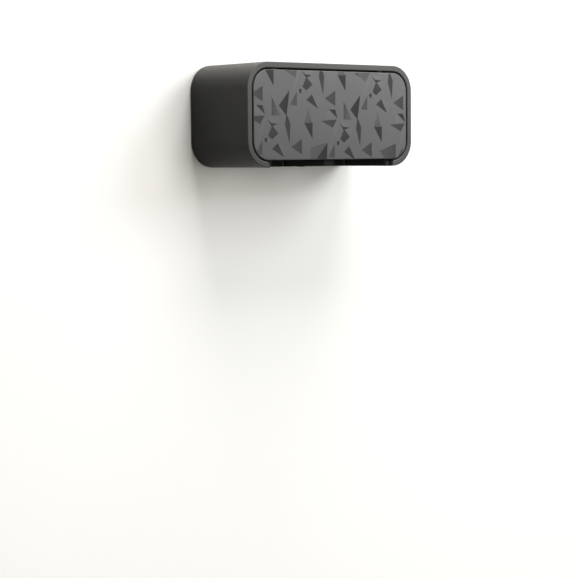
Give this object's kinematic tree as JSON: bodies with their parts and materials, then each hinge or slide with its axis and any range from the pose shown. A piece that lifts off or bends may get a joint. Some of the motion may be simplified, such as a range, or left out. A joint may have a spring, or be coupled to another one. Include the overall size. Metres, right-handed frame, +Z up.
{
  "type": "wall-mounted toothbrush holder",
  "caption": "Wall-hung box with a flip-up faceted front cover; brushes hang by their necks from a comb in its open bottom.",
  "frame": {"origin": "centre of the wall plate's back face, on the wall plane", "axes": "+X right along the wall, +Y into the wall, +Z up; the front cover faces -Y"},
  "size_m": [0.1128, 0.0495, 0.054],
  "materials": {
    "charcoal_plastic": "fine matte",
    "panel_grey": "satin, faceted",
    "black_plastic": "fine matte",
    "soft_liner": "soft matte",
    "foam_tape": "matte foam",
    "screw_steel": "plain",
    "wire_steel": "bright",
    "magnet_nickel": "plated"
  },
  "bodies": {
    "wall_plate": {"wall_plate": "black_plastic", "adhesive_pads": "foam_tape"},
    "holder": {"housing": "charcoal_plastic", "back_cover": "black_plastic", "back_screws": "screw_steel", "rest_rail_left": "black_plastic", "rest_rail_right": "black_plastic", "rail_screws": "screw_steel", "wire_block_left": "charcoal_plastic", "wire_block_right": "charcoal_plastic", "hinge_wire": "wire_steel", "magnet_left": "magnet_nickel", "magnet_right": "magnet_nickel"},
    "cover": {"cover_panel": "panel_grey", "cover_carrier": "black_plastic", "carrier_screws": "screw_steel", "strike_plate_left": "wire_steel", "strike_plate_right": "wire_steel", "cover_bumpers": "soft_liner"},
    "rest": {"brush_rest": "black_plastic", "neck_liner_left": "soft_liner", "neck_liner_right": "soft_liner"}
  },
  "joints": [
    {"name": "holder_lift", "type": "slide", "parent": "wall_plate", "child": "holder", "axis": [0, 0, 1], "range_m": [0, 0.0045]},
    {"name": "cover_hinge", "type": "hinge", "parent": "holder", "child": "cover", "pos_m": [0, -0.0484, 0.022], "axis": [-1, 0, 0], "range_deg": [0, 55]},
    {"name": "rest_slide", "type": "slide", "parent": "holder", "child": "rest", "axis": [0, -1, 0], "range_m": [0, 0.03]}
  ]
}
